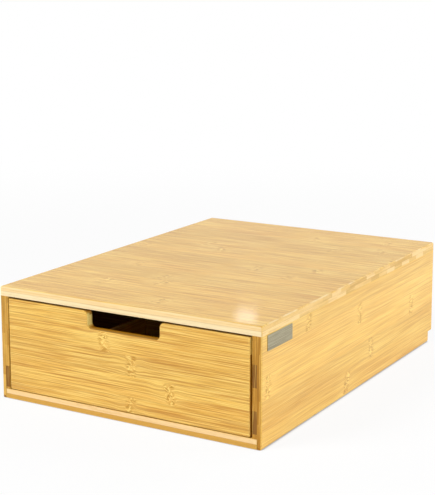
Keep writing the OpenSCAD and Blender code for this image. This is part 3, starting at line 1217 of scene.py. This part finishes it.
# %% [markdown]
# ## The back and the panel of the drawer box
#
# The back stands between the sides, with the same groove for the panel and the same rounded rim,
# so that the box looks of one piece from above. Its groove could be a long saw cut, but a cut in
# the shape of the panel itself is sure to hold the panel. The panel is a plain board that
# the grooves hold on all four sides, and it needs no cut at all.

# %% Box back and panel
PANEL_STAVES = -210


def box_back():
    finish = bamboo("bamboo box back", "drawer_back", "XZY", seed=41, stave_from=BOX_STAVES,
                    **INNER)
    low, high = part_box("drawer_back")
    board = blank("box_back_lacquered", low, high, BOX_EASE, rim_along(X))
    groove_panel(board, finish)
    drill(board, finish, rear_row, 1)
    drill(board, finish, rear_row, -1)
    return dress(board, finish, "drawer", "drawer_back")


def box_panel():
    finish = bamboo("bamboo panel", "drawer_panel", "XYZ", seed=43, stave_from=PANEL_STAVES,
                    **INNER)
    board = blank("box_panel_lacquered", panel_low, panel_high)
    return dress(board, finish, "drawer", "drawer_panel")


box_back()
box_panel()

# %% [markdown]
# ## The dividers
#
# The dividers are half-lapped into a grid: the long ones are slotted from above and the cross
# ones from below, so the grid locks together and still comes apart by hand. Solid crossings
# would be less work, but the thin laps are what a hand feels when it lifts one out. A lap is cut
# from the edge to half the height, so a cut as tall as the divider is centred on that edge.

# %% Dividers
LONG = ("long_divider_left", "long_divider_right")
DIVIDER_STAVES = 20
DIVIDER_BREAK = 0.2 * MM
LONG_SEED = 51
CROSS_SEED = 61
# How many times the thickness a lap's cut is long, to pass both faces well
LAP_REACH = 4

long_boxes = [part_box(node) for node in LONG]
long_xs = [(low.x + high.x) / 2 for low, high in long_boxes]


def divider(node, low, high, seed, grain, crossings):
    """A divider along its grain, with one lap for each divider that it crosses."""
    along = AXES.index(grain)
    through = 1 - along
    finish = bamboo("bamboo " + node, node, grain + "Z" + AXES[through], seed,
                    stave_from=DIVIDER_STAVES, **INNER)
    board = blank(node + "_lacquered", low, high, BOX_EASE, rim_along(along))
    lap = Vector((SLOT_W, SLOT_W, high.z - low.z + FIT))
    lap[through] = LAP_REACH * DIVIDER_T
    first = (low + high) / 2
    first.z = high.z if grain == "Y" else low.z
    first[along] = crossings[0]
    step = Vector((0, 0, 0))
    step[along] = crossings[1] - crossings[0]
    cut(board, finish, lap, first, step, len(crossings))
    return dress(board, finish, "drawer", node, broken=DIVIDER_BREAK)


for number, (node, (low, high)) in enumerate(zip(LONG, long_boxes)):
    divider(node, low, high, LONG_SEED + number, "Y", cross_ys)
for number, (node, (low, high)) in enumerate(zip(CROSS, cross_boxes)):
    divider(node, low, high, CROSS_SEED + number, "X", long_xs)

# %% [markdown]
# ## The dowels
#
# A dowel is a short beech pin with a small chamfer at both ends. The solids in the frame already
# have that shape, and nothing of them shows once the case is glued up. Making them again would
# add nothing, so they stay as they are and only get their wood.

# %% Dowels
dowel_nodes = [node for name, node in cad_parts.items() if name.endswith("_dowels")]
for node in dowel_nodes:
    node.data.materials.clear()
    node.data.materials.append(BEECH)
print("groups of dowels in beech:", len(dowel_nodes))

# %% [markdown]
# ## The plate
#
# A thin steel plate is stuck to the right side near the front, just under the top. It is left
# bare. A picture on the board could stand in for it, but its rounded corners and its broken
# edge catch the light, so it is a real sheet: a blank like the boards, with its four corners
# rounded and a finer break.

# %% Plate
PLATE_LONG = 50 * MM
PLATE_HIGH = 15.5 * MM
PLATE_T = 0.6 * MM
PLATE_FROM_FRONT = 10.6 * MM
PLATE_BELOW_TOP = 10.8 * MM
PLATE_CORNER = 1.0 * MM
PLATE_BREAK = 0.15 * MM


def plate():
    foot = top_high.z - PLATE_BELOW_TOP - PLATE_HIGH
    low = Vector((right_high.x, top_low.y + PLATE_FROM_FRONT, foot))
    high = low + Vector((PLATE_T, PLATE_LONG, PLATE_HIGH))
    piece = blank("side_plate", low, high, PLATE_CORNER, lambda mid: abs(mid.x) < 0.5)
    return dress(piece, STEEL, "case", None, broken=PLATE_BREAK)


plate()

# %% [markdown]
# ## White paper
#
# The case stands on plain white paper. Paper lit well enough to look white would take more light
# than the bamboo can bear, so the sheet glows by itself, but only to rays that come from the
# camera, from gloss or through glass. As a source of light it stays ordinary white paint. It
# still has to show the contact: ambient occlusion finds the strip beside the case where the sky
# is shut out, and takes light from both the paint and the glow there. Far from the case the
# paper gets a little whiter, so that it runs into the room without an edge.

# %% Paper
PAPER = (0.9, 0.9, 0.9)
WHITE = (1, 1, 1, 1)
CONTACT = 5 * MM
OPEN_SKY = (0.35, 0.85)
PAPER_FADE = (0.5, 1.6)


def seen(g):
    """1 for a ray that shows the background: from the camera, from gloss or through glass."""
    camera_ray, gloss_ray, glass_ray = (
        g.node("ShaderNodeLightPath", out=f"Is {kind} Ray")
        for kind in ("Camera", "Glossy", "Transmission"))
    return camera_ray.most(gloss_ray).most(glass_ray)


def white_paper():
    f = Finish("white sheet")
    sky = f.node("ShaderNodeAmbientOcclusion", None, {"Distance": CONTACT}, out="AO")
    lit = f.smooth(sky, *OPEN_SKY)
    paint = f.node("ShaderNodeBsdfDiffuse", None, {"Color": f.scale(PAPER, 0.3 + lit * 0.7)})
    glow = f.node("ShaderNodeEmission", None, {"Color": WHITE, "Strength": 1.0})
    x, y, _ = f.split(f.node("ShaderNodeTexCoord", out="Object"))
    whiter = f.smooth((x * x + y * y).root(), *PAPER_FADE)
    share = seen(f) * (0.90 + whiter * 0.10) * (0.4 + lit * 0.6)
    return f.close(f.node("ShaderNodeMixShader", None, {0: share, 1: paint, 2: glow}))


print(f"the paper is shaded {CONTACT / MM:.0f} mm out from the case")

# %% [markdown]
# ## The floor
#
# The sheet is one large square. Turning it up at the back, as a studio does, would give other
# sides a wall to look at, so it stays flat and simply reaches farther than any view of the case.

# %% Floor
FLOOR_HALF = 8.0


def floor_sheet():
    bm = bmesh.new()
    bmesh.ops.create_grid(bm, x_segments=1, y_segments=1, size=FLOOR_HALF)
    mesh = bpy.data.meshes.new("floor")
    bm.to_mesh(mesh)
    bm.free()
    sheet = link("floor", mesh)
    sheet.data.materials.append(white_paper())


floor_sheet()
print("floor:", 2 * FLOOR_HALF, "m square")

# %% [markdown]
# ## The room
#
# The room is white to whatever shows it, which is the camera, the lacquer and the steel, and
# much dimmer as a light. A room that shone as bright as it looks would flatten the boards, since
# light would come from all sides at once. This way the lamps still shape them.

# %% Room
ROOM_LIGHT = 0.16


def white_room():
    world = bpy.data.worlds.new("white room")
    world.use_nodes = True
    g = Graph(world.node_tree)
    level = g.node("ShaderNodeMapRange", None, {
        "Value": seen(g), "To Min": ROOM_LIGHT, "To Max": 1.0})
    sky = g.node("ShaderNodeBackground", None, {"Color": WHITE, "Strength": level})
    g.node("ShaderNodeOutputWorld", None, {"Surface": sky})
    bpy.context.scene.world = world
    return world


print("room nodes:", len(white_room().node_tree.nodes), "light:", ROOM_LIGHT)

# %% [markdown]
# ## The lamps
#
# Five round soft boxes light the object: a key from the front left, one from the right, two that
# are weaker from behind, and a faint one above. A sun or a spot would draw hard shadows, which a
# product studio avoids. A large lamp also shows as a white patch in the lacquer from some sides,
# so these are hidden from gloss. The sixth is the one that shows: a small flat lamp whose mirror
# image is the soft glint near the right front corner of the top.

# %% Lamps
# Place, width in metres and power in watts
SOFT_BOXES = {
    "key": ((-1.1, -1.7, 1.8), 1.2, 52),
    "side": ((2.3, -0.8, 0.8), 1.2, 25),
    "rear": ((1.9, 1.2, 1.0), 1.0, 14),
    "back": ((0.9, 2.4, 0.9), 1.2, 14),
    "above": ((0.45, 0.6, 0.9), 0.5, 1.5),
}
GLINT_PLACE = (-0.566, 1.042, 0.508)
GLINT_WIDTH = 0.05
GLINT_POWER = 0.022
GLINT_FLAT = 0.4


def soft_box(name, place, width, power, gleam=False, flat=1.0):
    """A round lamp that looks at the object. gleam lets it show in the lacquer, and flat is
    its height as a share of its width."""
    data = bpy.data.lights.new(name, "AREA")
    data.shape = "ELLIPSE"
    data.size = width
    data.size_y = width * flat
    data.energy = power
    lamp = bpy.data.objects.new(name, data)
    lamp.location = place
    lamp.visible_glossy = gleam
    lamp.rotation_euler = (-Vector(place)).to_track_quat("-Z", "Y").to_euler()
    bpy.context.collection.objects.link(lamp)
    print("lamp:", name, power, "W at", place)


for name, (place, width, power) in SOFT_BOXES.items():
    soft_box(name, place, width, power)
soft_box("glint", GLINT_PLACE, GLINT_WIDTH, GLINT_POWER, gleam=True, flat=GLINT_FLAT)
bpy.context.scene.view_settings.view_transform = "Standard"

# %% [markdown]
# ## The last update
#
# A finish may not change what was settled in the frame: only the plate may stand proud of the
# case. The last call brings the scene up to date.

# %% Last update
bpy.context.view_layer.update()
